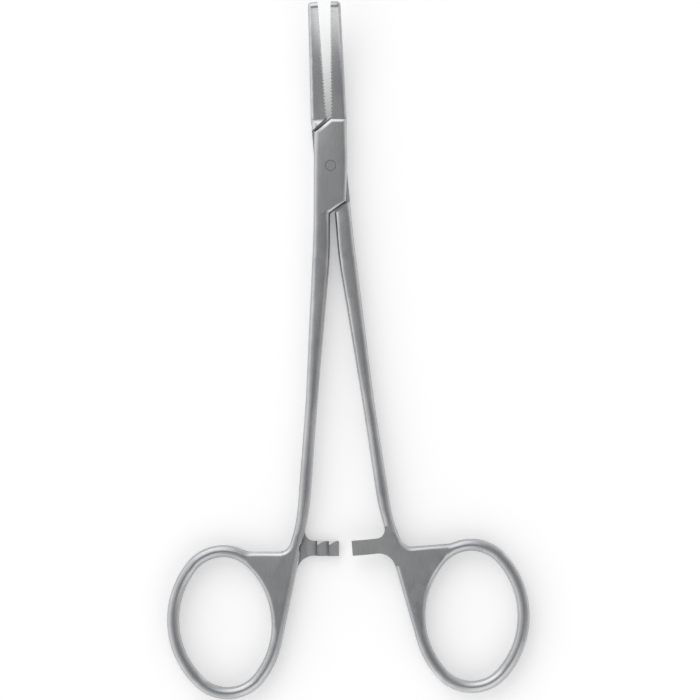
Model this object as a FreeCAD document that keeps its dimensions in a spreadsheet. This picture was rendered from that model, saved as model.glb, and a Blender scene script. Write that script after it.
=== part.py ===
import FreeCAD, Part
import math
import os

# Curved mosquito-pattern haemostatic forceps with a box lock, lying flat.
# Origin on the pivot axis at the underside of the box lock, jaws along +Y,
# tips bent up toward +Z, rings at -Y. The halves are laid out closed, with
# the jaw faces on the plane X = 0, and the male half is then turned open.

V = FreeCAD.Vector
doc = FreeCAD.newDocument("hemostat")
sheet = doc.addObject("Spreadsheet::Sheet", "sizes")

sizes = [
    # box lock
    ("box_thick", 3.7),
    ("tongue_thick", 1.5),
    ("tongue_clear", 0.05),
    ("tongue_half", 2.85),
    ("slot_clear", 0.15),
    ("stop_angle", 49.5),
    ("cheek_half", 3.0),
    ("shoulder_outer", 6.2),
    ("shoulder_inner", 8.6),
    ("shoulder_skew", 0.35),
    ("cheek_draw", 0.1),
    ("crook_round", 0.6),
    ("shoulder_clear", 0.1),
    ("pin_radius", 1.0),
    ("pin_fit", 0.03),
    ("rest_opening", 4.5),
    # shank: how far its edges stand from the middle, and how far down each bend is
    ("shank_thick", 2.9),
    ("taper_start", 9.0),
    ("taper_end", 24.0),
    ("shank_gap", 0.09),
    ("outer_upper", 3.05),
    ("outer_middle", 4.45),
    ("outer_knee", 6.1),
    ("outer_shoulder", 7.7),
    ("inner_middle", 2.35),
    ("inner_knee", 3.72),
    ("upper_down", 12.0),
    ("flare_down", 16.5),
    ("middle_down", 42.5),
    ("inner_knee_up", 7.2),
    ("outer_knee_up", 4.8),
    ("shoulder_drop", 0.55),
    ("shoulder_round", 1.6),
    ("bend_run", 2.5),
    ("edge_bevel", 0.6),
    # finger ring
    ("ring_x", 18.9),
    ("ring_drop", 13.2),
    ("male_ring_drop", 0.6),
    ("ring_hole_wide", 16.6),
    ("ring_hole_long", 23.4),
    ("ring_end_radius", 6.2),
    ("ring_rod", 2.15),
    ("ring_lean", 4.0),
    ("ring_blend", 4.0),
    # ratchet
    ("bar_radius", 68.8),
    ("bar_width", 2.7),
    ("bar_reach", 1.53),
    ("root_run_top", 1.95),
    ("root_run_low", 2.4),
    ("crest_clear", 0.05),
    ("tooth_pitch", 2.15),
    ("tooth_deep", 0.8),
    ("tooth_count", 3),
    ("tip_land", 1.8),
    ("bevel_wide", 0.65),
    ("bevel_deep", 0.5),
    ("scallop_in", 0.45),
    # jaw
    ("jaw_clear", 0.03),
    ("jaw_length", 20.55),
    ("jaw_bend", 41.0),
    ("jaw_base_wide", 2.8),
    ("jaw_tip_wide", 1.7),
    ("jaw_base_deep", 3.0),
    ("jaw_tip_deep", 1.75),
    ("jaw_round", 0.7),
    ("groove_count", 34),
    ("groove_pitch", 0.6),
    ("groove_deep", 0.4),
]
for row, (alias, number) in enumerate(sizes, start=1):
    sheet.set("A%d" % row, alias)
    sheet.set("B%d" % row, str(number))
    sheet.setAlias("B%d" % row, alias)
doc.recompute()


def size(alias):
    return float(getattr(sheet, alias))


def plane_of(body, role):
    for feature in body.Origin.OriginFeatures:
        if feature.Role == role:
            return feature


def new_sketch(body, name, role="XY_Plane", place=None):
    """A sketch on an origin plane; place puts it elsewhere in the body's frame."""
    sketch = body.newObject("Sketcher::SketchObject", name)
    plane = plane_of(body, role)
    sketch.AttachmentSupport = [(plane, "")]
    sketch.MapMode = "FlatFace"
    if place is not None:
        sketch.AttachmentOffset = plane.Placement.inverse().multiply(place)
    return sketch


def mid_sketch(body, name):
    """A sketch in plan at mid thickness of the forceps."""
    sketch = new_sketch(body, name)
    sketch.setExpression("AttachmentOffset.Base.z", "sizes.box_thick / 2")
    return sketch


def add_polygon(sketch, points):
    for i, point in enumerate(points):
        after = points[(i + 1) % len(points)]
        sketch.addGeometry(Part.LineSegment(V(point[0], point[1], 0), V(after[0], after[1], 0)))


class Outline:
    """Straight runs with their corners rounded by arcs; mirror = -1 flips it left to right."""

    def __init__(self, mirror, start):
        self.mirror = mirror
        self.point = V(start[0], start[1], 0)
        self.items = []

    def put(self, point):
        return V(self.mirror * point.x, point.y, 0)

    def line(self, x, y):
        end = V(x, y, 0)
        self.items.append(Part.LineSegment(self.put(self.point), self.put(end)))
        self.point = end

    def arc(self, middle, end):
        self.items.append(Part.Arc(self.put(self.point), self.put(middle), self.put(end)))
        self.point = V(end)

    def runs(self, corners):
        """Runs through corners (x, y, length of each run that its arc takes), to the last one."""
        stops = [(self.point, 0)] + [(V(x, y, 0), run) for x, y, run in corners]
        for before, here, after in zip(stops, stops[1:], stops[2:]):
            back = (before[0] - here[0]).normalize()
            ahead = (after[0] - here[0]).normalize()
            if here[1] == 0:
                self.line(here[0].x, here[0].y)
                continue
            first = here[0] + back * here[1]
            last = here[0] + ahead * here[1]
            half = math.acos(max(-1, min(1, back.dot(ahead)))) / 2
            inward = (back + ahead).normalize()
            hub = here[0] + inward * (here[1] / math.cos(half))
            self.line(first.x, first.y)
            self.arc(hub - inward * (here[1] * math.tan(half)), last)
        self.line(stops[-1][0].x, stops[-1][0].y)


class Ring:
    """Leaning oval of four arcs, found by the direction that its edge faces."""

    def __init__(self, mirror, rod):
        self.mirror = mirror
        down = size("bar_radius") + size("ring_drop")
        if mirror < 0:
            down += size("male_ring_drop")
        self.centre = V(-size("ring_x"), -down, 0)
        self.lean = math.radians(90 + size("ring_lean"))
        long = size("ring_hole_long") / 2
        wide = size("ring_hole_wide") / 2
        self.end = size("ring_end_radius")
        self.off = long - self.end
        self.flank = (self.off ** 2 + wide ** 2 - self.end ** 2) / (2 * (wide - self.end))
        self.back = self.flank - wide
        self.rod = rod
        self.joint = math.atan2(self.back, self.off)

    def along(self, angle):
        return V(math.cos(angle), math.sin(angle), 0)

    def at(self, angle):
        """Point of the edge whose outward direction is angle."""
        turn = math.remainder(angle - self.lean, 2 * math.pi)
        if abs(turn) <= self.joint:
            middle, radius = self.centre + self.along(self.lean) * self.off, self.end
        elif abs(turn) >= math.pi - self.joint:
            middle, radius = self.centre - self.along(self.lean) * self.off, self.end
        else:
            side = math.copysign(1, turn)
            middle = self.centre - self.along(self.lean + math.pi / 2) * (self.back * side)
            radius = self.flank
        return middle + self.along(angle) * (radius + self.rod)

    def put(self, angle):
        point = self.at(angle)
        return V(self.mirror * point.x, point.y, 0)

    def span(self, start, end):
        """Arcs counter-clockwise from one direction to another."""
        stops = [start]
        for turn in range(-2, 4):
            for joint in (-self.joint, self.joint):
                stop = self.lean + turn * math.pi + joint
                if start + 1e-6 < stop < end - 1e-6:
                    stops.append(stop)
        stops = sorted(stops) + [end]
        arcs = []
        for first, second in zip(stops, stops[1:]):
            inside = 1e-9
            arcs.append(Part.Arc(self.put(first + inside), self.put((first + second) / 2),
                                 self.put(second - inside)))
        return arcs


def inner_knee():
    return V(-size("inner_knee"), -(size("bar_radius") - size("inner_knee_up")), 0)


def ring_touch(ring):
    """Direction that the ring faces where a line from the inner knee touches it."""
    low, high = math.radians(-60), math.radians(40)
    for _ in range(60):
        touch = (low + high) / 2
        step = ring.at(touch) - inner_knee()
        if step.dot(ring.along(touch)) > 0:
            low = touch
        else:
            high = touch
    return touch


def shank_outline(path, ring):
    """Outer edge, shoulder, ring and inner edge, down from the box and back up to it."""
    bar = size("bar_radius")
    run = size("bend_run")
    level = -(bar + size("shoulder_drop"))
    low, high = 0.0, math.pi / 2
    for _ in range(60):
        start = (low + high) / 2
        if ring.at(start).y < level:
            low = start
        else:
            high = start
    meet = ring.at(start)
    path.runs([
        (-size("outer_upper"), -size("upper_down"), run),
        (-size("outer_middle"), -size("middle_down"), run),
        (-size("outer_knee"), -(bar - size("outer_knee_up")), run),
        (-size("outer_shoulder"), level, size("shoulder_round")),
        (meet.x, meet.y, 0)])
    touch = ring_touch(ring)
    path.items.extend(ring.span(start, touch + 2 * math.pi))
    path.point = ring.at(touch)
    knee = inner_knee()
    path.runs([
        (knee.x, knee.y, run),
        (-size("inner_middle"), -size("middle_down"), run),
        (-size("shank_gap"), -size("flare_down"), run),
        (-size("shank_gap"), -size("shoulder_inner"), 0)])
    return meet


def edges_where(feature, wanted):
    """Edges chosen by how their two faces lean: 0 for an upright wall, 1 for a broad face."""
    names = []
    for number, edge in enumerate(feature.Shape.Edges, start=1):
        leans = []
        for face in feature.Shape.ancestorsOfType(edge, Part.Face):
            u0, u1, v0, v1 = face.ParameterRange
            leans.append(abs(face.normalAt((u0 + u1) / 2, (v0 + v1) / 2).z))
        if len(leans) == 2 and wanted(min(leans), max(leans)):
            names.append("Edge%d" % number)
    return names


def add_long_round(body, label, before):
    """The forging's long round, as three flats: a bevel whose own two edges are bevelled."""
    first = body.newObject("PartDesign::Chamfer", label + "_bevelled")
    first.Base = (before, edges_where(before, lambda low, high: low < 0.5 and high > 0.9))
    first.setExpression("Size", "sizes.edge_bevel")
    doc.recompute()
    second = body.newObject("PartDesign::Chamfer", label + "_rounded")
    second.Base = (first, edges_where(first, lambda low, high: (low < 0.3 and 0.5 < high < 0.9)
                                      or (0.5 < low < 0.9 and high > 0.95)))
    second.setExpression("Size", "sizes.edge_bevel / 2")
    cut_check(first.Shape.Volume, second)
    return second


def upright_edges(feature, spots, reach=0.4):
    """Upright edges that stand at the given plan points."""
    names = []
    for number, edge in enumerate(feature.Shape.Edges, start=1):
        ends = [vertex.Point for vertex in edge.Vertexes]
        if len(ends) != 2 or abs(ends[0].z - ends[1].z) < 1.0:
            continue
        if math.hypot(ends[0].x - ends[1].x, ends[0].y - ends[1].y) > 0.01:
            continue
        for spot in spots:
            if math.hypot(ends[0].x - spot[0], ends[0].y - spot[1]) < reach:
                names.append("Edge%d" % number)
    return names


def cut_check(before, feature):
    doc.recompute()
    if feature.Shape.Volume >= before - 1e-4:
        raise RuntimeError(feature.Name + " cut nothing")
    return feature.Shape.Volume


def outline_of_box_half(mirror, ring):
    """Female: shank, cheeks in one with it, and the root of its jaw."""
    half = size("cheek_half")
    top = size("shoulder_inner")
    side = size("shoulder_outer")
    path = Outline(mirror, (-half, side))
    meet = shank_outline(path, ring)
    path.line(half - size("cheek_draw"), -side - size("shoulder_skew"))
    path.line(half, 0)
    path.line(half - size("cheek_draw"), top)
    path.line(0, top)
    path.line(-half, side)
    return path, meet


def outline_of_tongue_half(mirror, ring):
    """Male: shank, round boss on the pivot and the root of its jaw."""
    half = size("tongue_half")
    gap = size("shank_gap")
    face = size("jaw_clear") / 2
    top = size("shoulder_inner")
    low = V(-gap, -math.sqrt(half ** 2 - gap ** 2), 0)
    high = V(face, math.sqrt(half ** 2 - face ** 2), 0)
    slant = half * math.sqrt(0.5)
    path = Outline(mirror, (-half, 0))
    meet = shank_outline(path, ring)
    path.line(low.x, low.y)
    path.arc(V(slant, -slant, 0), V(half, 0, 0))
    path.line(half, top)
    path.line(face, top)
    path.line(high.x, high.y)
    path.arc(V(-slant, slant, 0), V(-half, 0, 0))
    return path, meet


def add_taper(body, label, blank):
    """Long shallow cuts that thin the shank from the box down to the ring."""
    volume = blank.Shape.Volume
    thick = size("box_thick")
    drop = (thick - size("shank_thick")) / 2
    start = -size("taper_start")
    end = -size("taper_end")
    for name, surface, way in (("upper", thick, 1), ("lower", 0, -1)):
        sketch = new_sketch(body, label + "_taper_" + name, "YZ_Plane")
        mid_y = (start + end) / 2
        edge = surface - way * drop
        waist = surface - way * drop / 2
        out = surface + way * 2
        sketch.addGeometry(Part.Arc(V(start, surface, 0),
                                    V((start + mid_y) / 2, surface - way * drop / 8, 0),
                                    V(mid_y, waist, 0)))
        sketch.addGeometry(Part.Arc(V(mid_y, waist, 0),
                                    V((end + mid_y) / 2, edge + way * drop / 8, 0),
                                    V(end, edge, 0)))
        below = -2 * size("bar_radius")
        add_chain(sketch, [(end, edge), (below, edge), (below, out), (start, out), (start, surface)])
        cut = body.newObject("PartDesign::Pocket", label + "_thin_" + name)
        cut.Profile = sketch
        cut.SideType = "Symmetric"
        cut.setExpression("Length", "2 * sizes.bar_radius")
        volume = cut_check(volume, cut)
    return cut


def add_chain(sketch, points):
    for first, second in zip(points, points[1:]):
        sketch.addGeometry(Part.LineSegment(V(first[0], first[1], 0), V(second[0], second[1], 0)))


def add_jaw(body, label, mirror):
    """Flat-faced jaw bent up on an arc, thinner to its round tip, with cross serrations."""
    base_y = size("shoulder_inner") - 1.0
    bend = size("jaw_bend")
    mid = size("box_thick") / 2
    face = size("jaw_clear") / 2
    tip_half = size("jaw_tip_wide") / 2
    sweep = math.asin((size("jaw_length") + 1.0 - tip_half * 0.86) / bend)

    def on_bend(share, off):
        turn = sweep * share
        return V(base_y + (bend - off) * math.sin(turn), mid + bend - (bend - off) * math.cos(turn), 0)

    def half_wide(share):
        return (size("jaw_base_wide") * (1 - share) + size("jaw_tip_wide") * share) / 2

    # side profile: two arcs that close in on each other, and the tip's arc tangent to both
    blade = doc.addObject("PartDesign::Body", label + "_blade")
    side = new_sketch(blade, label + "_jaw_side", "YZ_Plane",
                      FreeCAD.Placement(V(mirror * face, 0, 0), FreeCAD.Rotation(V(1, 1, 1), 120)))
    ends = []
    for way in (1, -1):
        points = [on_bend(share, way * half_wide(share)) for share in (0, 0.5, 1)]
        side.addGeometry(Part.Arc(*points))
        ends.append(points)
    close = math.atan((size("jaw_base_wide") - size("jaw_tip_wide")) / 2 / (bend * sweep))
    reach = tip_half / math.cos(close) - tip_half * math.tan(close)
    tip = on_bend(1, 0) + V(math.cos(sweep), math.sin(sweep), 0) * reach
    side.addGeometry(Part.Arc(ends[0][2], tip, ends[1][2]))
    add_chain(side, [ends[0][0], ends[1][0]])
    jaw = blade.newObject("PartDesign::Pad", label + "_jaw")
    jaw.Profile = side
    jaw.Reversed = mirror < 0
    jaw.setExpression("Length", "sizes.jaw_base_deep - sizes.jaw_clear / 2")
    doc.recompute()

    # the back of the jaw slopes in toward the tip
    back = mid_sketch(blade, label + "_jaw_back")
    end_y = tip.x + 0.5
    deep = size("jaw_base_deep")
    thin = size("jaw_tip_deep")
    add_polygon(back, [(mirror * deep, base_y - 1), (mirror * thin, end_y),
                       (mirror * (deep + 1), end_y), (mirror * (deep + 1), base_y - 1)])
    slope = blade.newObject("PartDesign::Pocket", label + "_jaw_slope")
    slope.Profile = back
    slope.SideType = "Symmetric"
    slope.setExpression("Length", "sizes.jaw_bend")
    cut_check(jaw.Shape.Volume, slope)
    back_edges = []
    for number, edge in enumerate(slope.Shape.Edges, start=1):
        box = edge.BoundBox
        if box.YLength > 0.3 and min(abs(box.XMin), abs(box.XMax)) > thin - 0.2:
            back_edges.append("Edge%d" % number)
    rounded = blade.newObject("PartDesign::Fillet", label + "_jaw_round")
    rounded.Base = (slope, back_edges)
    rounded.setExpression("Radius", "sizes.jaw_round")
    doc.recompute()

    # one cross groove square to the jaw face, then its pattern about the centre of the bend
    deep = size("groove_deep")
    reach = size("groove_pitch") * 0.47
    first = base_y + 1.0 + size("groove_pitch") * (0.5 if mirror > 0 else 1.0)
    place = FreeCAD.Placement(V(0, 0, mid + size("jaw_base_wide")), FreeCAD.Rotation())
    groove = new_sketch(blade, label + "_groove_profile", "XY_Plane", place)
    add_polygon(groove, [(-mirror * 0.2, first - reach), (mirror * face, first - reach),
                         (mirror * deep, first), (mirror * face, first + reach),
                         (-mirror * 0.2, first + reach)])
    cut = blade.newObject("PartDesign::Pocket", label + "_groove")
    cut.Profile = groove
    cut.setExpression("Length", "sizes.jaw_base_wide * 2")
    volume = cut_check(rounded.Shape.Volume, cut)
    centre = new_sketch(blade, label + "_bend_centre", "YZ_Plane",
                        FreeCAD.Placement(V(0, base_y, mid + bend), FreeCAD.Rotation(V(1, 1, 1), 120)))
    centre.addGeometry(Part.Point(V(0, 0, 0)), True)
    grooves = blade.newObject("PartDesign::PolarPattern", label + "_serrations")
    grooves.Originals = [cut]
    grooves.Axis = (centre, ["N_Axis"])
    grooves.Mode = "Spacing"
    grooves.setExpression("Offset", "sizes.groove_pitch / sizes.jaw_bend * 180 / pi")
    grooves.setExpression("Occurrences", "sizes.groove_count")
    blade.Tip = grooves
    volume = cut_check(volume, grooves)

    joined = body.newObject("PartDesign::Boolean", label + "_jaw_joined")
    joined.Type = "Fuse"
    joined.addObject(blade)
    body.Tip = joined
    doc.recompute()
    return joined


def add_ratchet(body, label, mirror, upper):
    """Bar across to the other shank, in its own half of the thickness, with saw teeth."""
    inner = size("bar_radius") - size("bar_width") / 2
    outer = size("bar_radius") + size("bar_width") / 2
    reach = size("bar_reach")
    knee = inner_knee()
    ring = Ring(mirror, size("ring_rod"))
    touch = ring.at(ring_touch(ring))
    lean = (touch.x - knee.x) / (touch.y - knee.y)

    def on(radius, x):
        return V(x, -math.sqrt(radius ** 2 - x ** 2), 0)

    def edge(y):
        return V(knee.x + lean * (y - knee.y), y, 0)

    def root(path, start, end, corner):
        """Hollow arc that leaves start and meets end, both as far from the corner."""
        inward = ((start - corner).normalize() + (end - corner).normalize()).normalize()
        half = (start - corner).getAngle(inward)
        run = (start - corner).Length
        hub = corner + inward * (run / math.cos(half))
        path.arc(hub - inward * (run * math.tan(half)), end)

    # bar in plan: edges round the pivot, with a hollow root above and below
    top_corner = edge(-inner)
    low_corner = edge(-outer)
    top_start = on(inner, top_corner.x + size("root_run_top"))
    top_end = edge(-inner + size("root_run_top"))
    low_start = edge(-outer - size("root_run_low"))
    low_end = on(outer, low_corner.x + size("root_run_low"))
    sunk = V(2 * size("edge_bevel"), 0, 0)
    path = Outline(mirror, (reach, on(inner, reach).y))
    path.arc(on(inner, (reach + top_start.x) / 2), top_start)
    root(path, top_start, top_end, top_corner)
    path.line((top_end - sunk).x, top_end.y)
    path.line((low_start - sunk).x, low_start.y)
    path.line(low_start.x, low_start.y)
    root(path, low_start, low_end, low_corner)
    path.arc(on(outer, (reach + low_end.x) / 2), on(outer, reach))
    path.line(reach, on(inner, reach).y)
    sketch = new_sketch(body, label + "_bar_outline")
    if upper:
        sketch.setExpression("AttachmentOffset.Base.z", "sizes.box_thick / 2 + sizes.crest_clear")
    else:
        sketch.setExpression("AttachmentOffset.Base.z", "(sizes.box_thick - sizes.shank_thick) / 2")
    for item in path.items:
        sketch.addGeometry(item)
    bar = body.newObject("PartDesign::Pad", label + "_bar")
    bar.Profile = sketch
    bar.setExpression("Length", "sizes.shank_thick / 2 - sizes.crest_clear")
    doc.recompute()

    # bevel along the bar's jaw side, on the face that carries the teeth
    mid = size("box_thick") / 2
    way = 1 if upper else -1
    crest = mid + way * size("crest_clear")
    slant = new_sketch(body, label + "_bevel_profile", "YZ_Plane")
    wide = size("bevel_wide")
    deep = way * size("bevel_deep")
    add_polygon(slant, [(-inner - wide, crest), (-inner, crest + deep), (-inner + 0.2, crest + deep),
                        (-inner + 0.2, crest - way * 0.2), (-inner - wide, crest - way * 0.2)])
    bevel = body.newObject("PartDesign::Groove", label + "_bevel")
    bevel.Profile = slant
    bevel.ReferenceAxis = (slant, ["V_Axis"])
    bevel.Midplane = True
    bevel.Angle = 2 * math.degrees(math.asin((abs(top_start.x) + 0.4) / inner))
    volume = cut_check(bar.Shape.Volume, bevel)

    # half-moon let into the shank, for the tip of the other bar
    moon = new_sketch(body, label + "_scallop_outline")
    moon.setExpression("AttachmentOffset.Base.z",
                       "sizes.box_thick / 2 %s sizes.crest_clear" % ("+" if upper else "-"))
    radius = size("bar_width") / 2
    wall = edge(-size("bar_radius"))
    moon.addGeometry(Part.Circle(V(mirror * (wall.x + radius - size("scallop_in")), wall.y, 0),
                                 V(0, 0, 1), radius))
    scallop = body.newObject("PartDesign::Pocket", label + "_scallop")
    scallop.Profile = moon
    scallop.Reversed = not upper
    scallop.setExpression("Length", "sizes.box_thick")
    volume = cut_check(volume, scallop)

    # one saw notch: a long slope down to the steep face of the next tooth
    root_z = crest + way * size("tooth_deep")
    over = crest - way * 0.3
    left = reach - size("tip_land") - size("tooth_pitch") * (size("tooth_count") - 1)
    right = left + size("tooth_pitch")
    crest_flat = 0.12
    place = FreeCAD.Placement(V(0, -outer - 0.5, 0), FreeCAD.Rotation(V(1, 0, 0), 90))
    notch = new_sketch(body, label + "_tooth_profile", "XZ_Plane", place)
    add_polygon(notch, [(mirror * (left + crest_flat), crest), (mirror * right, root_z),
                        (mirror * right, over), (mirror * (left + crest_flat), over)])
    cut = body.newObject("PartDesign::Pocket", label + "_tooth")
    cut.Profile = notch
    cut.setExpression("Length", "sizes.bar_width + 1")
    volume = cut_check(volume, cut)
    teeth = body.newObject("PartDesign::PolarPattern", label + "_teeth")
    teeth.Originals = [cut]
    teeth.Axis = (sketch, ["N_Axis"])
    teeth.Reversed = mirror < 0
    teeth.Mode = "Spacing"
    teeth.setExpression("Offset", "sizes.tooth_pitch / sizes.bar_radius * 180 / pi")
    teeth.setExpression("Occurrences", "sizes.tooth_count")
    body.Tip = teeth
    cut_check(volume, teeth)
    return teeth


def build_half(label, mirror, holds_box):
    body = doc.addObject("PartDesign::Body", label)
    body.Label = label
    ring = Ring(mirror, size("ring_rod"))

    # plan outline of the forging, jaw apart
    outline = mid_sketch(body, label + "_outline")
    if holds_box:
        path, meet = outline_of_box_half(mirror, ring)
    else:
        path, meet = outline_of_tongue_half(mirror, ring)
    for item in path.items:
        outline.addGeometry(item)
    blank = body.newObject("PartDesign::Pad", label + "_blank")
    blank.Profile = outline
    blank.SideType = "Symmetric"
    blank.setExpression("Length", "sizes.box_thick")
    doc.recompute()
    cut = add_taper(body, label, blank)

    # finger hole
    volume = cut.Shape.Volume
    hole_sketch = mid_sketch(body, label + "_hole_outline")
    for arc in Ring(mirror, 0).span(0, 2 * math.pi):
        hole_sketch.addGeometry(arc)
    hole = body.newObject("PartDesign::Pocket", label + "_hole")
    hole.Profile = hole_sketch
    hole.SideType = "Symmetric"
    hole.setExpression("Length", "sizes.box_thick * 2")
    volume = cut_check(volume, hole)

    # blend between ring and shoulder, then the long round on both broad sides
    blend = body.newObject("PartDesign::Fillet", label + "_ring_blend")
    blend.Base = (hole, upright_edges(hole, [(mirror * meet.x, meet.y)]))
    blend.setExpression("Radius", "sizes.ring_blend")
    doc.recompute()
    if holds_box:
        crook = body.newObject("PartDesign::Fillet", label + "_crook")
        crook.Base = (blend, upright_edges(blend, [(-mirror * size("shank_gap"),
                                                    -size("shoulder_inner"))]))
        crook.setExpression("Radius", "sizes.crook_round")
        doc.recompute()
        blend = crook
    add_long_round(body, label, blend)
    volume = add_jaw(body, label, mirror).Shape.Volume

    top = size("shoulder_inner")
    side = size("shoulder_outer")
    low = side + size("shoulder_skew")
    half = size("cheek_half")
    if holds_box:
        # slot for the tongue: its two walls stop the opening
        turn = math.radians(size("stop_angle"))
        wall = size("tongue_half") + size("slot_clear")
        far = half + 1

        def wall_y(x):
            return (wall - x * math.cos(turn)) / math.sin(turn)

        slot_sketch = mid_sketch(body, label + "_slot_outline")
        corners = [(far, wall_y(far)), (0.05, wall_y(0.05)), (0.05, top + 1), (-far, top + 1)]
        add_polygon(slot_sketch, corners + [(-x, -y) for x, y in corners])
        slot = body.newObject("PartDesign::Pocket", label + "_slot")
        slot.Profile = slot_sketch
        slot.SideType = "Symmetric"
        slot.setExpression("Length", "sizes.tongue_thick + 2 * sizes.tongue_clear")
        volume = cut_check(volume, slot)
    else:
        # room for the two cheeks, up to a shoulder at each end of the tongue
        clear = size("shoulder_clear")
        up = (top - side) / half
        down = (top - low) / (half - size("cheek_draw"))

        def upper_y(x):
            return top - up * x + clear * math.hypot(1, up)

        def lower_y(x):
            return -top - down * x - clear * math.hypot(1, down)

        corners = [(5, upper_y(5)), (-1, upper_y(-1)), (-5, upper_y(-1)), (-5, lower_y(-5)),
                   (1, lower_y(1)), (5, lower_y(1))]
        for name, expression in (("upper", "(sizes.box_thick + sizes.tongue_thick) / 2"),
                                 ("lower", "(sizes.box_thick - sizes.tongue_thick) / 2")):
            seat = new_sketch(body, label + "_seat_" + name)
            seat.setExpression("AttachmentOffset.Base.z", expression)
            add_polygon(seat, [(mirror * x, y) for x, y in corners])
            room = body.newObject("PartDesign::Pocket", label + "_room_" + name)
            room.Profile = seat
            room.Reversed = name == "upper"
            room.setExpression("Length", "sizes.box_thick")
            volume = cut_check(volume, room)

    # pivot bore
    bore_sketch = mid_sketch(body, label + "_bore_outline")
    radius = size("pin_radius") + (0 if holds_box else size("pin_fit"))
    bore_sketch.addGeometry(Part.Circle(V(0, 0, 0), V(0, 0, 1), radius))
    bore = body.newObject("PartDesign::Pocket", label + "_bore")
    bore.Profile = bore_sketch
    bore.SideType = "Symmetric"
    bore.setExpression("Length", "sizes.box_thick * 2")
    volume = cut_check(volume, bore)

    add_ratchet(body, label, mirror, not holds_box)
    return body


female = build_half("female_half", 1, True)
male = build_half("male_half", -1, False)
male.Placement = FreeCAD.Placement(V(0, 0, 0), FreeCAD.Rotation(V(0, 0, 1), size("rest_opening")))
male.setExpression("Placement.Rotation.Angle", "sizes.rest_opening")

pin = doc.addObject("Part::Cylinder", "pivot_pin")
pin.Label = "pivot_pin"
pin.setExpression("Radius", "sizes.pin_radius")
pin.setExpression("Height", "sizes.box_thick")
doc.recompute()

for item in doc.Objects:
    if "Invalid" in item.State or "Error" in item.State:
        raise RuntimeError(item.Name + " failed")

os.makedirs("parts", exist_ok=True)
for node in (female, male, pin):
    if node.Shape.isNull() or not node.Shape.isValid():
        raise RuntimeError(node.Label + " has no valid shape")
    node.Shape.exportStep("parts/" + node.Label + ".step")
    print(node.Label, round(node.Shape.Volume, 2), len(node.Shape.Solids), len(node.Shape.Faces))
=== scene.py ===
import bpy
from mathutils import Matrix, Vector


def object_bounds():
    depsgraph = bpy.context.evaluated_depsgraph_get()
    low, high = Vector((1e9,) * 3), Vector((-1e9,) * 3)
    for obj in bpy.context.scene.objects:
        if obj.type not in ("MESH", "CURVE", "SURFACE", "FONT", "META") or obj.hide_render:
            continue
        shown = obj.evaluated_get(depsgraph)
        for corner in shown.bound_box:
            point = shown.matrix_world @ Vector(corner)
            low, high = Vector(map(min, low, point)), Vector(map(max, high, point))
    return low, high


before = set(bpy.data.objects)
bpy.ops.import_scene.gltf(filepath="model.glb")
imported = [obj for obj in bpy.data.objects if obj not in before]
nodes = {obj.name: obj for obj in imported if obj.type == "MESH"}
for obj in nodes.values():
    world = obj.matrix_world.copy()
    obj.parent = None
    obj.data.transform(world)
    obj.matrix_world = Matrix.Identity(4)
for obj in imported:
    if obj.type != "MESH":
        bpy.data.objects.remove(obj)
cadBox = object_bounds()
print("frame loaded:", sorted(nodes))

# the part's own box: its middle and its length set the size of the table and the places of the lamps
boxLow, boxHigh = Vector(cadBox[0]), Vector(cadBox[1])
middle = (boxLow + boxHigh) / 2
span = boxHigh.y - boxLow.y
white = (1.0, 1.0, 1.0, 1.0)


# small helpers for node trees: a value goes into a socket as a number or as a link
def feed(tree, socket, value):
    if isinstance(value, bpy.types.NodeSocket):
        tree.links.new(value, socket)
    elif value is not None:
        socket.default_value = value


def addNode(tree, kind, inputs=None, **settings):
    node = tree.nodes.new(kind)
    for name, value in settings.items():
        setattr(node, name, value)
    for name, value in (inputs or {}).items():
        feed(tree, node.inputs[name], value)
    return node


def calc(tree, operation, first, second=None, clamp=False):
    node = addNode(tree, "ShaderNodeMath", {0: first, 1: second}, operation=operation, use_clamp=clamp)
    return node.outputs[0]


def remap(tree, value, low, high, toLow, toHigh, curve="SMOOTHSTEP"):
    node = addNode(tree, "ShaderNodeMapRange",
                   {"Value": value, "From Min": low, "From Max": high, "To Min": toLow, "To Max": toHigh},
                   interpolation_type=curve)
    return node.outputs["Result"]


# sockets 6 and 7 of a mix node are its two colours, and output 2 is the colour that comes out
def blendColour(tree, share, first, second):
    node = addNode(tree, "ShaderNodeMix", {0: share, 6: first, 7: second}, data_type="RGBA")
    return node.outputs[2]


def newGroup(name, kind, inputs, outputs):
    group = bpy.data.node_groups.new(name, kind)
    for label, socketType, value in inputs:
        socket = group.interface.new_socket(name=label, in_out="INPUT", socket_type=socketType)
        if value is not None:
            socket.default_value = value
    for label, socketType in outputs:
        group.interface.new_socket(name=label, in_out="OUTPUT", socket_type=socketType)
    return group, group.nodes.new("NodeGroupInput").outputs, group.nodes.new("NodeGroupOutput").inputs


# satin grain: noise drawn out along the instrument, and a slow cloudiness over the whole of it
grainPattern = {"across": 9000.0, "along": 500.0, "fineDetail": 3.0,
                "cloudScale": 140.0, "cloudDetail": 2.0}


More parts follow.
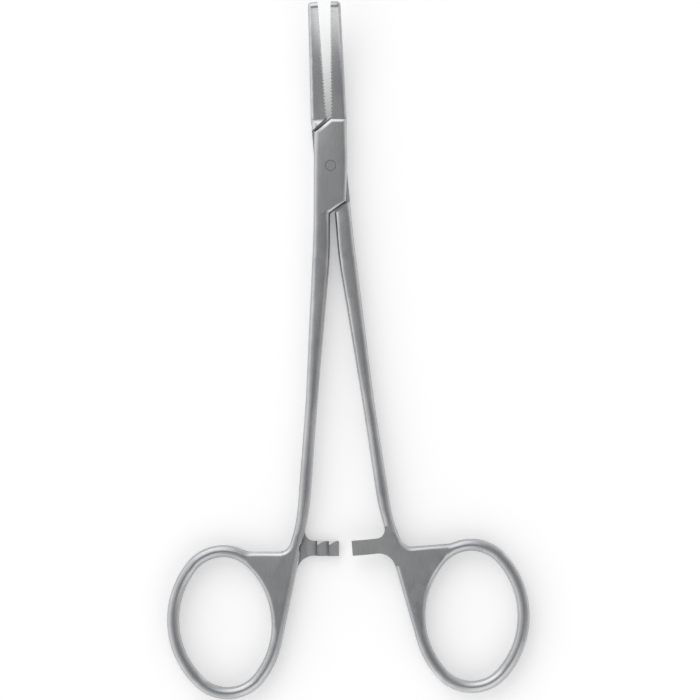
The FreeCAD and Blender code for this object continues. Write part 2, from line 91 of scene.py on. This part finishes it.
def makeSatinGrain():
    group, take, give = newGroup(
        "satinGrain", "ShaderNodeTree",
        [("Vector", "NodeSocketVector", None),
         ("Across", "NodeSocketFloat", grainPattern["across"]),
         ("Along", "NodeSocketFloat", grainPattern["along"]),
         ("Cloud Scale", "NodeSocketFloat", grainPattern["cloudScale"])],
        [("Grain", "NodeSocketFloat"), ("Cloud", "NodeSocketFloat")])
    spread = addNode(group, "ShaderNodeCombineXYZ",
                     {0: take["Across"], 1: take["Along"], 2: take["Across"]})
    drawn = addNode(group, "ShaderNodeVectorMath",
                    {0: take["Vector"], 1: spread.outputs[0]}, operation="MULTIPLY")
    fine = addNode(group, "ShaderNodeTexNoise",
                   {"Vector": drawn.outputs[0], "Scale": 1.0, "Detail": grainPattern["fineDetail"]})
    cloud = addNode(group, "ShaderNodeTexNoise",
                    {"Vector": take["Vector"], "Scale": take["Cloud Scale"],
                     "Detail": grainPattern["cloudDetail"]})
    feed(group, give["Grain"], fine.outputs["Fac"])
    feed(group, give["Cloud"], cloud.outputs["Fac"])
    return group


# hair scratches: the thin walls between long cells, kept only where a patchy noise is high
scratchPattern = {"scale": 260.0, "turn": 0.6, "width": 0.012, "stretch": (1.0, 0.06, 1.0),
                  "patchScale": 420.0, "patchLevel": 0.56}


def makeHairScratches():
    group, take, give = newGroup(
        "hairScratches", "ShaderNodeTree",
        [("Vector", "NodeSocketVector", None),
         ("Scale", "NodeSocketFloat", scratchPattern["scale"]),
         ("Turn", "NodeSocketFloat", scratchPattern["turn"]),
         ("Width", "NodeSocketFloat", scratchPattern["width"])],
        [("Mask", "NodeSocketFloat")])
    turned = addNode(group, "ShaderNodeVectorRotate",
                     {"Vector": take["Vector"], "Angle": take["Turn"]}, rotation_type="Z_AXIS")
    longWays = addNode(group, "ShaderNodeVectorMath",
                       {0: turned.outputs[0], 1: scratchPattern["stretch"]}, operation="MULTIPLY")
    cells = addNode(group, "ShaderNodeTexVoronoi",
                    {"Vector": longWays.outputs[0], "Scale": take["Scale"]}, feature="DISTANCE_TO_EDGE")
    patches = addNode(group, "ShaderNodeTexNoise",
                      {"Vector": take["Vector"], "Scale": scratchPattern["patchScale"]})
    thin = calc(group, "LESS_THAN", cells.outputs["Distance"], take["Width"])
    some = calc(group, "GREATER_THAN", patches.outputs["Fac"], scratchPattern["patchLevel"])
    feed(group, give["Mask"], calc(group, "MULTIPLY", thin, some))
    return group


# edge wear and painted shade: masks of where the surface stands out, for rubbed wear, and of where it
# folds in and of narrow crevices, which nearby faces of the same piece shelter, for painted shade
wearAndShadePattern = {"sharpness": 6.0, "flatSurface": 0.5, "creviceReach": 0.0007,
               "creviceRange": (0.45, 0.92), "creviceSamples": 8}


def makeEdgeWearAndPaintedShade():
    group, take, give = newGroup(
        "edgeWearAndPaintedShade", "ShaderNodeTree",
        [("Sharpness", "NodeSocketFloat", wearAndShadePattern["sharpness"]),
         ("Crevice Reach", "NodeSocketFloat", wearAndShadePattern["creviceReach"])],
        [("Edge", "NodeSocketFloat"), ("Hollow", "NodeSocketFloat"), ("Crevice", "NodeSocketFloat")])
    pointed = addNode(group, "ShaderNodeNewGeometry").outputs["Pointiness"]
    flat = wearAndShadePattern["flatSurface"]
    # Edge marks rubbed wear, and Hollow marks the folds that painted shade darkens
    for name, first, second in (("Edge", pointed, flat), ("Hollow", flat, pointed)):
        rise = calc(group, "SUBTRACT", first, second)
        feed(group, give[name], calc(group, "MULTIPLY", rise, take["Sharpness"], True))
    # the crevice mask is painted shade: ambient occlusion by the piece's own faces
    openness = addNode(group, "ShaderNodeAmbientOcclusion", {"Distance": take["Crevice Reach"]},
                       samples=wearAndShadePattern["creviceSamples"], only_local=True)
    crevice = remap(group, openness.outputs["AO"], *wearAndShadePattern["creviceRange"], 1.0, 0.0)
    feed(group, give["Crevice"], crevice)
    return group


satinGrain = makeSatinGrain()
hairScratches = makeHairScratches()
edgeWearAndPaintedShade = makeEdgeWearAndPaintedShade()
print("shader groups built")


# stainless steel of the two halves: cloudy satin, with painted shade in hollows and crevices, rubbed on
# the edges
halfSteel = {
    "colour": (0.50, 0.505, 0.515, 1.0),
    "cloudy": (0.42, 0.425, 0.44, 1.0),
    # the hollow colour is painted shade in hollows and crevices, and on the rivet also its dark seam
    "hollow": (0.10, 0.10, 0.105, 1.0),
    "rubbed": (0.66, 0.665, 0.67, 1.0),
    "roughLow": 0.24,
    "roughHigh": 0.36,
    "along": grainPattern["along"],
    "grainRange": (0.2, 0.8),
    "grainHeight": 0.0000012,
    "cloudRange": (0.35, 0.65),
    "edgeShare": 0.7,
    "hollowShare": 0.9,
    "creviceShare": 0.75,
    "scratchShare": 0.35,
    "scratchDepth": 0.6,
}

# the rivet's ends: the same steel without a lengthwise grain, and a dark seam near the rim, in metres
rivetSteel = dict(halfSteel, roughLow=0.18, roughHigh=0.28, along=grainPattern["across"],
                  scratchShare=0.2, seamFrom=0.00084, seamTo=0.00099, seamShare=0.85)


def steelMaterial(name, finish):
    material = bpy.data.materials.new(name)
    material.use_nodes = True
    tree = material.node_tree
    tree.nodes.clear()
    where = addNode(tree, "ShaderNodeTexCoord").outputs["Object"]
    grain = addNode(tree, "ShaderNodeGroup", node_tree=satinGrain)
    scratch = addNode(tree, "ShaderNodeGroup", node_tree=hairScratches)
    wearAndShade = addNode(tree, "ShaderNodeGroup", node_tree=edgeWearAndPaintedShade)
    feed(tree, grain.inputs["Vector"], where)
    feed(tree, grain.inputs["Along"], finish["along"])
    feed(tree, scratch.inputs["Vector"], where)

    # colour: cloudy satin, painted shade darkening hollows and crevices, lighter on rubbed edges and in
    # scratches
    cloudShare = remap(tree, grain.outputs["Cloud"], *finish["cloudRange"], 0.0, 1.0)
    satin = blendColour(tree, cloudShare, finish["cloudy"], finish["colour"])
    # sunk is the share of painted shade, in folds and in sheltered crevices
    sunk = calc(tree, "MAXIMUM",
                calc(tree, "MULTIPLY", wearAndShade.outputs["Crevice"], finish["creviceShare"]),
                calc(tree, "MULTIPLY", wearAndShade.outputs["Hollow"], finish["hollowShare"]))
    shaded = blendColour(tree, sunk, satin, finish["hollow"])
    rubbedShare = calc(tree, "MAXIMUM",
                       calc(tree, "MULTIPLY", wearAndShade.outputs["Edge"], finish["edgeShare"]),
                       calc(tree, "MULTIPLY", scratch.outputs["Mask"], finish["scratchShare"]))
    colour = blendColour(tree, rubbedShare, shaded, finish["rubbed"])
    if "seamFrom" in finish:
        flat = addNode(tree, "ShaderNodeVectorMath", {0: where, 1: (1.0, 1.0, 0.0)}, operation="MULTIPLY")
        fromAxis = addNode(tree, "ShaderNodeVectorMath", {0: flat.outputs[0]}, operation="LENGTH")
        seam = remap(tree, fromAxis.outputs["Value"], finish["seamFrom"], finish["seamTo"],
                     0.0, finish["seamShare"])
        colour = blendColour(tree, seam, colour, finish["hollow"])

    # roughness and relief follow the grain, and the scratches cut into it
    rough = remap(tree, grain.outputs["Grain"], *finish["grainRange"],
                  finish["roughLow"], finish["roughHigh"], "LINEAR")
    relief = calc(tree, "SUBTRACT", grain.outputs["Grain"],
                  calc(tree, "MULTIPLY", scratch.outputs["Mask"], finish["scratchDepth"]))
    bump = addNode(tree, "ShaderNodeBump", {"Distance": finish["grainHeight"], "Height": relief})
    shader = addNode(tree, "ShaderNodeBsdfPrincipled",
                     {"Base Color": colour, "Metallic": 1.0, "Roughness": rough,
                      "Normal": bump.outputs[0]})
    out = addNode(tree, "ShaderNodeOutputMaterial")
    feed(tree, out.inputs["Surface"], shader.outputs[0])
    return material


# rounding of the shading: the loose triangles are joined, flats that meet at a small angle shade as
# one round, and the widest flat decides the direction
rounding = {"joinDistance": 0.000002, "smoothAngle": 0.5}


def makeRounding():
    group, take, give = newGroup(
        "rounding", "GeometryNodeTree",
        [("Geometry", "NodeSocketGeometry", None)], [("Geometry", "NodeSocketGeometry")])
    joined = addNode(group, "GeometryNodeMergeByDistance",
                     {"Geometry": take["Geometry"], "Distance": rounding["joinDistance"]})
    soft = addNode(group, "GeometryNodeSetShadeSmooth",
                   {"Geometry": joined.outputs[0], "Shade Smooth": True}, domain="FACE")
    angle = addNode(group, "GeometryNodeInputMeshEdgeAngle").outputs["Unsigned Angle"]
    gentle = calc(group, "LESS_THAN", angle, rounding["smoothAngle"])
    crisp = addNode(group, "GeometryNodeSetShadeSmooth",
                    {"Geometry": soft.outputs[0], "Shade Smooth": gentle}, domain="EDGE")
    feed(group, give["Geometry"], crisp.outputs[0])
    return group


roundingGroup = makeRounding()


# the material goes into the piece's own slots, and its mesh stays as the CAD made it
def dress(node, material):
    if not node.material_slots:
        node.data.materials.append(material)
    for slot in node.material_slots:
        slot.link = "OBJECT"
        slot.material = material
    node.modifiers.new("rounding", "NODES").node_group = roundingGroup
    even = node.modifiers.new("evenShade", "WEIGHTED_NORMAL")
    even.keep_sharp = True


satinStainless = steelMaterial("satinStainless", halfSteel)
groundRivet = steelMaterial("groundRivet", rivetSteel)
dress(nodes["female_half"], satinStainless)
dress(nodes["male_half"], satinStainless)
dress(nodes["pivot_pin"], groundRivet)
print("steel and rounding in place")


# white table under the instrument, in spans; the lift is only what the camera and mirrors see of it
table = {"reach": 24.0, "drop": 0.00016, "colour": (0.90, 0.90, 0.90, 1.0), "rough": 0.9,
         "specular": 0.1, "lift": 0.24}


def makeTable():
    half = table["reach"] * span
    height = min(boxLow.z, 0.0) - table["drop"] * span
    corners = [(-half, -half, height), (half, -half, height), (half, half, height), (-half, half, height)]
    mesh = bpy.data.meshes.new("whiteTable")
    mesh.from_pydata(corners, [], [(0, 1, 2, 3)])
    obj = bpy.data.objects.new("whiteTable", mesh)
    bpy.context.scene.collection.objects.link(obj)
    material = bpy.data.materials.new("whiteTable")
    material.use_nodes = True
    tree = material.node_tree
    rays = addNode(tree, "ShaderNodeLightPath").outputs
    mirrored = calc(tree, "MAXIMUM", rays["Is Glossy Ray"], rays["Is Transmission Ray"])
    seen = calc(tree, "MAXIMUM", rays["Is Camera Ray"], mirrored)
    shader = tree.nodes["Principled BSDF"].inputs
    feed(tree, shader["Base Color"], table["colour"])
    feed(tree, shader["Roughness"], table["rough"])
    feed(tree, shader["Specular IOR Level"], table["specular"])
    feed(tree, shader["Emission Color"], white)
    feed(tree, shader["Emission Strength"], calc(tree, "MULTIPLY", seen, table["lift"]))
    mesh.materials.append(material)


# soft boxes past the jaws and past the rings: width, depth and place in spans from the middle,
# and watts per square span
softBoxes = {
    "keyBox": {"size": (4.0, 4.0), "power": 48.0, "place": (-1.3, 3.15, 3.5)},
    "fillBox": {"size": (4.0, 3.2), "power": 32.0, "place": (1.9, -3.1, 3.2)},
}


def softBox(name, box):
    data = bpy.data.lights.new(name, "AREA")
    data.shape = "RECTANGLE"
    data.size, data.size_y = (side * span for side in box["size"])
    data.energy = box["power"] * span ** 2
    lamp = bpy.data.objects.new(name, data)
    away = Vector(box["place"]) * span
    lamp.location = middle + away
    lamp.rotation_euler = (-away).to_track_quat("-Z", "Y").to_euler()
    bpy.context.scene.collection.objects.link(lamp)


# white dome: dimmer overhead than at its rim, brighter on the left, and plain white to the camera
dome = {"rim": 1.05, "overhead": 0.37, "heightRange": (0.35, 0.95),
        "left": 1.3, "right": 0.7, "sideRange": (-0.7, 0.7)}


def makeDome():
    world = bpy.data.worlds.new("studioDome")
    bpy.context.scene.world = world
    world.use_nodes = True
    tree = world.node_tree
    direction = addNode(tree, "ShaderNodeTexCoord").outputs["Generated"]
    axes = addNode(tree, "ShaderNodeSeparateXYZ", {0: direction}).outputs
    byHeight = remap(tree, axes["Z"], *dome["heightRange"], dome["rim"], dome["overhead"])
    bySide = remap(tree, axes["X"], *dome["sideRange"], dome["left"], dome["right"])
    straight = addNode(tree, "ShaderNodeLightPath").outputs["Is Camera Ray"]
    strength = calc(tree, "MAXIMUM", calc(tree, "MULTIPLY", byHeight, bySide), straight)
    background = tree.nodes["Background"]
    feed(tree, background.inputs["Color"], white)
    feed(tree, background.inputs["Strength"], strength)


# camera straight above, far off with a long lens, placed so that the pivot lies where the photo has it
view = {"lens": 300.0, "farEnd": 10.0, "pixels": 700, "pixelSize": 0.00018, "pivotPixel": (330.6, 166.1)}


def makeCamera():
    data = bpy.data.cameras.new("camera")
    data.lens = view["lens"]
    data.clip_end = view["farEnd"]
    camera = bpy.data.objects.new("camera", data)
    half = view["pixels"] / 2
    across, down = view["pivotPixel"]
    frameWidth = view["pixels"] * view["pixelSize"]
    camera.location = ((half - across) * view["pixelSize"], (down - half) * view["pixelSize"],
                       frameWidth * view["lens"] / data.sensor_width)
    bpy.context.scene.collection.objects.link(camera)
    bpy.context.scene.camera = camera


makeTable()
for name, box in softBoxes.items():
    softBox(name, box)
makeDome()
makeCamera()
bpy.context.scene.view_settings.view_transform = "Standard"
print("table, lights and camera set")
